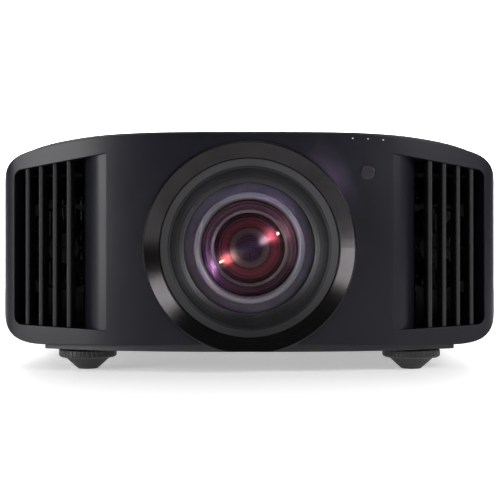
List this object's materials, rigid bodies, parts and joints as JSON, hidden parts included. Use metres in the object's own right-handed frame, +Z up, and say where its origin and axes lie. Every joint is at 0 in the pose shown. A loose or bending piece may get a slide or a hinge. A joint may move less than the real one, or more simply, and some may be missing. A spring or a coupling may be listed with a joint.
{
  "type": "home projector",
  "caption": "Wide low home cinema projector with a swept front, side vents, a large recessed centre lens, levelling feet and motorised lens shift.",
  "frame": {"origin": "under the middle of the object, at the floor its feet stand on", "axes": "+X to the right seen from the front, +Y towards the rear panel, +Z up; the lens looks along -Y"},
  "size_m": [0.5, 0.518, 0.234],
  "materials": {
    "case_satin": "satin moulded, fine grain",
    "case_side": "fine leather-grain moulded",
    "trim_metal": "black anodised, turned",
    "black_matte": "matte",
    "barrel_grey": "satin anodised grey",
    "lens_glass": "multi-coated",
    "window_black": "infra-red dark gloss",
    "light_pipe": "clear",
    "steel": "zinc plated",
    "brass": "machined",
    "gear_nylon": "white acetal",
    "rubber": "moulded",
    "foam": "open foam",
    "magnesium": "cast, satin",
    "circuit": "solder mask",
    "key_plastic": "fine matte",
    "fan_black": "glass-filled"
  },
  "bodies": {
    "chassis": {"case_screws": "steel", "connector_plate": "black_matte", "fan_frames": "fan_black", "front_bezel": "case_satin", "front_sensor_window": "window_black", "hdmi_sockets": "steel", "lan_socket": "steel", "laser_light_source": "magnesium", "left_vent_louvre": "black_matte", "lens_recess_shroud": "black_matte", "lens_surround_ring": "trim_metal", "light_engine_housing": "magnesium", "lower_case": "case_side", "main_board": "circuit", "power_inlet": "black_matte", "power_supply": "circuit", "rear_panel": "case_side", "right_vent_louvre": "black_matte", "shift_frame": "magnesium", "status_light_guide": "light_pipe", "top_cover": "case_side", "trigger_jack": "black_matte"},
    "vertical_shift": {"vertical_shift_carriage": "magnesium"},
    "lens": {"lens_mount_flange": "magnesium", "lens_barrel": "magnesium", "lens_front_ring": "barrel_grey", "front_lens_element": "lens_glass", "lens_motors": "steel"},
    "vertical_screw": {"vertical_lead_screw": "steel"},
    "horizontal_screw": {"horizontal_lead_screw": "steel"},
    "focus_gear": {"focus_ring_gear": "gear_nylon"},
    "focus_pinion": {"focus_pinion": "brass"},
    "focus_group": {"focus_cell": "barrel_grey", "focus_lens": "lens_glass"},
    "zoom_gear": {"zoom_ring_gear": "gear_nylon"},
    "zoom_pinion": {"zoom_pinion": "brass"},
    "zoom_group": {"zoom_cell": "barrel_grey", "zoom_lens": "lens_glass"},
    "foot_front_left_pad": {"foot_pad_front_left": "rubber"},
    "foot_front_left_knob": {"foot_knob_front_left": "black_matte"},
    "foot_front_right_pad": {"foot_pad_front_right": "rubber"},
    "foot_front_right_knob": {"foot_knob_front_right": "black_matte"},
    "foot_rear_left_pad": {"foot_pad_rear_left": "rubber"},
    "foot_rear_left_knob": {"foot_knob_rear_left": "black_matte"},
    "foot_rear_right_pad": {"foot_pad_rear_right": "rubber"},
    "foot_rear_right_knob": {"foot_knob_rear_right": "black_matte"},
    "power_key": {"key_power": "key_plastic"},
    "input_key": {"key_input": "key_plastic"},
    "menu_key": {"key_menu": "key_plastic"},
    "ok_key": {"key_ok": "key_plastic"},
    "up_key": {"key_up": "key_plastic"},
    "down_key": {"key_down": "key_plastic"},
    "left_key": {"key_left": "key_plastic"},
    "right_key": {"key_right": "key_plastic"},
    "left_filter": {"left_filter_door": "case_side", "left_dust_filter": "foam"},
    "left_fan": {"left_fan_impeller": "fan_black"},
    "right_filter": {"right_filter_door": "case_side", "right_dust_filter": "foam"},
    "right_fan": {"right_fan_impeller": "fan_black"}
  },
  "joints": [
    {"name": "lens_shift_vertical", "type": "slide", "parent": "chassis", "child": "vertical_shift", "axis": [0, 0, 1], "range_m": [-0.0066, 0.0066]},
    {"name": "lens_shift_horizontal", "type": "slide", "parent": "vertical_shift", "child": "lens", "axis": [1, 0, 0], "range_m": [-0.0052, 0.0052]},
    {"name": "vertical_screw_turn", "type": "hinge", "parent": "chassis", "child": "vertical_screw", "pos_m": [0.1, -0.1268, 0.121], "axis": [0, 0, 1], "range_deg": [-2200, 2200]},
    {"name": "horizontal_screw_turn", "type": "hinge", "parent": "vertical_shift", "child": "horizontal_screw", "pos_m": [0, -0.139, 0.041], "axis": [1, 0, 0], "range_deg": [-2000, 2000]},
    {"name": "focus_ring_turn", "type": "hinge", "parent": "lens", "child": "focus_gear", "pos_m": [0, -0.18, 0.121], "axis": [0, 1, 0], "range_deg": [-55, 55]},
    {"name": "focus_pinion_turn", "type": "hinge", "parent": "lens", "child": "focus_pinion", "pos_m": [0.05134, -0.18, 0.17234], "axis": [0, 1, 0], "range_deg": [-345.75, 345.75]},
    {"name": "focus_travel", "type": "slide", "parent": "lens", "child": "focus_group", "axis": [0, 1, 0], "range_m": [-0.0031, 0.0031]},
    {"name": "zoom_ring_turn", "type": "hinge", "parent": "lens", "child": "zoom_gear", "pos_m": [0, -0.166, 0.121], "axis": [0, 1, 0], "range_deg": [-50, 50]},
    {"name": "zoom_pinion_turn", "type": "hinge", "parent": "lens", "child": "zoom_pinion", "pos_m": [-0.05134, -0.166, 0.06966], "axis": [0, 1, 0], "range_deg": [-314.5, 314.5]},
    {"name": "zoom_travel", "type": "slide", "parent": "lens", "child": "zoom_group", "axis": [0, 1, 0], "range_m": [-0.0091, 0.0091]},
    {"name": "foot_front_left_height", "type": "slide", "parent": "chassis", "child": "foot_front_left_pad", "axis": [0, 0, -1], "range_m": [0, 0.01]},
    {"name": "foot_front_left_turn", "type": "hinge", "parent": "foot_front_left_pad", "child": "foot_front_left_knob", "pos_m": [-0.163, -0.197, 0.016], "axis": [0, 0, 1], "range_deg": [-1, 2410]},
    {"name": "foot_front_right_height", "type": "slide", "parent": "chassis", "child": "foot_front_right_pad", "axis": [0, 0, -1], "range_m": [0, 0.01]},
    {"name": "foot_front_right_turn", "type": "hinge", "parent": "foot_front_right_pad", "child": "foot_front_right_knob", "pos_m": [0.163, -0.197, 0.016], "axis": [0, 0, 1], "range_deg": [-1, 2410]},
    {"name": "foot_rear_left_height", "type": "slide", "parent": "chassis", "child": "foot_rear_left_pad", "axis": [0, 0, -1], "range_m": [0, 0.01]},
    {"name": "foot_rear_left_turn", "type": "hinge", "parent": "foot_rear_left_pad", "child": "foot_rear_left_knob", "pos_m": [-0.163, 0.185, 0.016], "axis": [0, 0, 1], "range_deg": [-1, 2410]},
    {"name": "foot_rear_right_height", "type": "slide", "parent": "chassis", "child": "foot_rear_right_pad", "axis": [0, 0, -1], "range_m": [0, 0.01]},
    {"name": "foot_rear_right_turn", "type": "hinge", "parent": "foot_rear_right_pad", "child": "foot_rear_right_knob", "pos_m": [0.163, 0.185, 0.016], "axis": [0, 0, 1], "range_deg": [-1, 2410]},
    {"name": "power_key_press", "type": "slide", "parent": "chassis", "child": "power_key", "axis": [0, -1, 0], "range_m": [0, 0.0008], "stiffness_N_per_m": 1200, "springref_m": -0.0008},
    {"name": "input_key_press", "type": "slide", "parent": "chassis", "child": "input_key", "axis": [0, -1, 0], "range_m": [0, 0.0008], "stiffness_N_per_m": 1200, "springref_m": -0.0008},
    {"name": "menu_key_press", "type": "slide", "parent": "chassis", "child": "menu_key", "axis": [0, -1, 0], "range_m": [0, 0.0008], "stiffness_N_per_m": 1200, "springref_m": -0.0008},
    {"name": "ok_key_press", "type": "slide", "parent": "chassis", "child": "ok_key", "axis": [0, -1, 0], "range_m": [0, 0.0008], "stiffness_N_per_m": 1200, "springref_m": -0.0008},
    {"name": "up_key_press", "type": "slide", "parent": "chassis", "child": "up_key", "axis": [0, -1, 0], "range_m": [0, 0.0008], "stiffness_N_per_m": 1200, "springref_m": -0.0008},
    {"name": "down_key_press", "type": "slide", "parent": "chassis", "child": "down_key", "axis": [0, -1, 0], "range_m": [0, 0.0008], "stiffness_N_per_m": 1200, "springref_m": -0.0008},
    {"name": "left_key_press", "type": "slide", "parent": "chassis", "child": "left_key", "axis": [0, -1, 0], "range_m": [0, 0.0008], "stiffness_N_per_m": 1200, "springref_m": -0.0008},
    {"name": "right_key_press", "type": "slide", "parent": "chassis", "child": "right_key", "axis": [0, -1, 0], "range_m": [0, 0.0008], "stiffness_N_per_m": 1200, "springref_m": -0.0008},
    {"name": "left_filter_pull", "type": "slide", "parent": "chassis", "child": "left_filter", "axis": [0, 1, 0], "range_m": [0, 0.06]},
    {"name": "left_fan_spin", "type": "hinge", "parent": "chassis", "child": "left_fan", "pos_m": [-0.196, -0.134, 0.121], "axis": [0, 1, 0], "continuous": true},
    {"name": "right_filter_pull", "type": "slide", "parent": "chassis", "child": "right_filter", "axis": [0, 1, 0], "range_m": [0, 0.06]},
    {"name": "right_fan_spin", "type": "hinge", "parent": "chassis", "child": "right_fan", "pos_m": [0.196, -0.134, 0.121], "axis": [0, 1, 0], "continuous": true}
  ],
  "couplings": [
    {"joint": "vertical_screw_turn", "follows": "lens_shift_vertical", "rad_per_m": 3141.6},
    {"joint": "horizontal_screw_turn", "follows": "lens_shift_horizontal", "rad_per_m": 3141.6},
    {"joint": "focus_pinion_turn", "follows": "focus_ring_turn", "ratio": -6.25},
    {"joint": "focus_travel", "follows": "focus_ring_turn", "m_per_rad": 0.003125},
    {"joint": "zoom_pinion_turn", "follows": "zoom_ring_turn", "ratio": -6.25},
    {"joint": "zoom_travel", "follows": "zoom_ring_turn", "m_per_rad": 0.010313},
    {"joint": "foot_front_left_turn", "follows": "foot_front_left_height", "rad_per_m": 4188.8},
    {"joint": "foot_front_right_turn", "follows": "foot_front_right_height", "rad_per_m": 4188.8},
    {"joint": "foot_rear_left_turn", "follows": "foot_rear_left_height", "rad_per_m": 4188.8},
    {"joint": "foot_rear_right_turn", "follows": "foot_rear_right_height", "rad_per_m": 4188.8}
  ]
}
